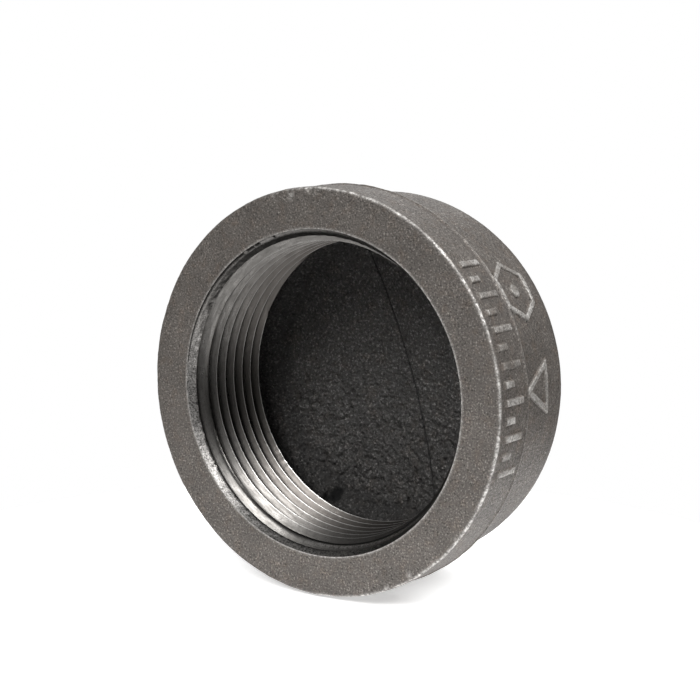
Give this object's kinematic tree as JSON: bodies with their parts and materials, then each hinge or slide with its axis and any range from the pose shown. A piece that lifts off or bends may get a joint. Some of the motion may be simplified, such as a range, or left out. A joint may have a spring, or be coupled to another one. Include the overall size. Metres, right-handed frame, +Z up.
{
  "type": "pipe cap",
  "caption": "Banded cast iron pipe cap with a female taper thread, a domed closed end and plain raised cast marks.",
  "frame": {"origin": "centre of the flat mouth face", "axes": "-Y out of the mouth along the thread's axis, +Y towards the domed closed end, +Z up"},
  "size_m": [0.0923, 0.0432, 0.0922],
  "materials": {
    "cast_skin": "black malleable iron, fine sand-cast grain",
    "worn_marks": "cast iron rubbed bright on the high spots"
  },
  "bodies": {
    "root": {"cap_body": "cast_skin", "band_tally_marks": "worn_marks", "hexagon_mark": "worn_marks", "triangle_mark": "worn_marks"}
  },
  "joints": []
}
